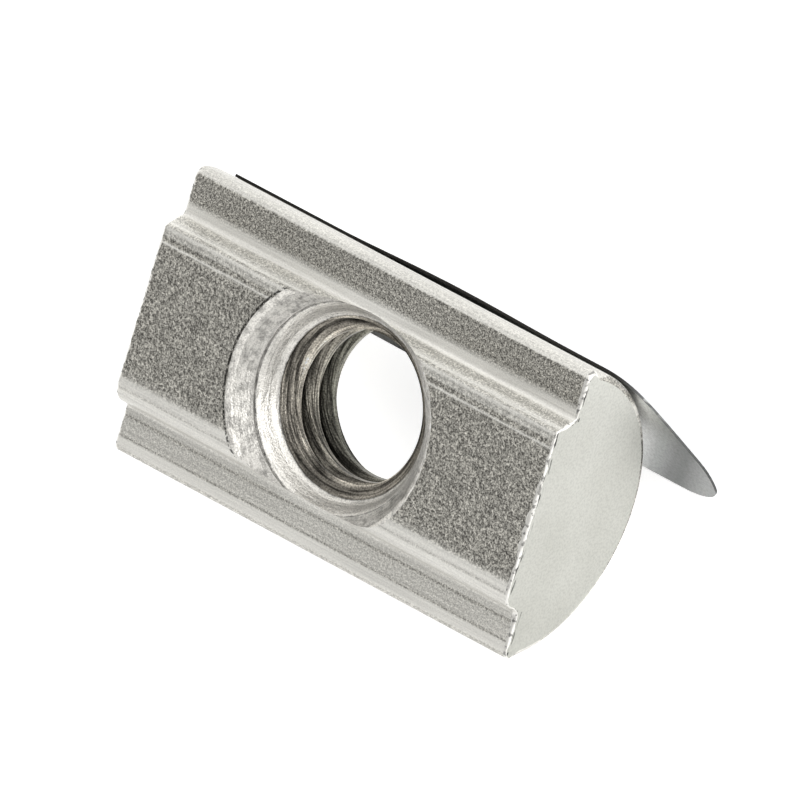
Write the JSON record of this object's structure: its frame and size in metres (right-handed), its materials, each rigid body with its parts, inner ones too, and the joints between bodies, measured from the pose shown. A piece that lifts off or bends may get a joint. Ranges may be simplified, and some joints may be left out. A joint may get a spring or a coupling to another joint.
{
  "type": "t slot nut",
  "caption": "Half-round roll-in T-slot nut with a raised tongue, a countersunk threaded hole and a leaf spring along its back.",
  "frame": {"origin": "on the thread's axis, where the hole's upper cone meets the thread", "axes": "+Z along the thread, out through the tongue; +X along the bar, towards the leaf spring's free nose; +Y across the bar, towards the side that carries the leaf spring"},
  "size_m": [0.0258, 0.0134, 0.0095],
  "materials": {
    "nut_steel": "drawn steel, zinc plated, satin",
    "spring_steel": "rolled spring strip, satin"
  },
  "bodies": {
    "root": {"nut_body": "nut_steel", "leaf_spring": "spring_steel"}
  },
  "joints": []
}
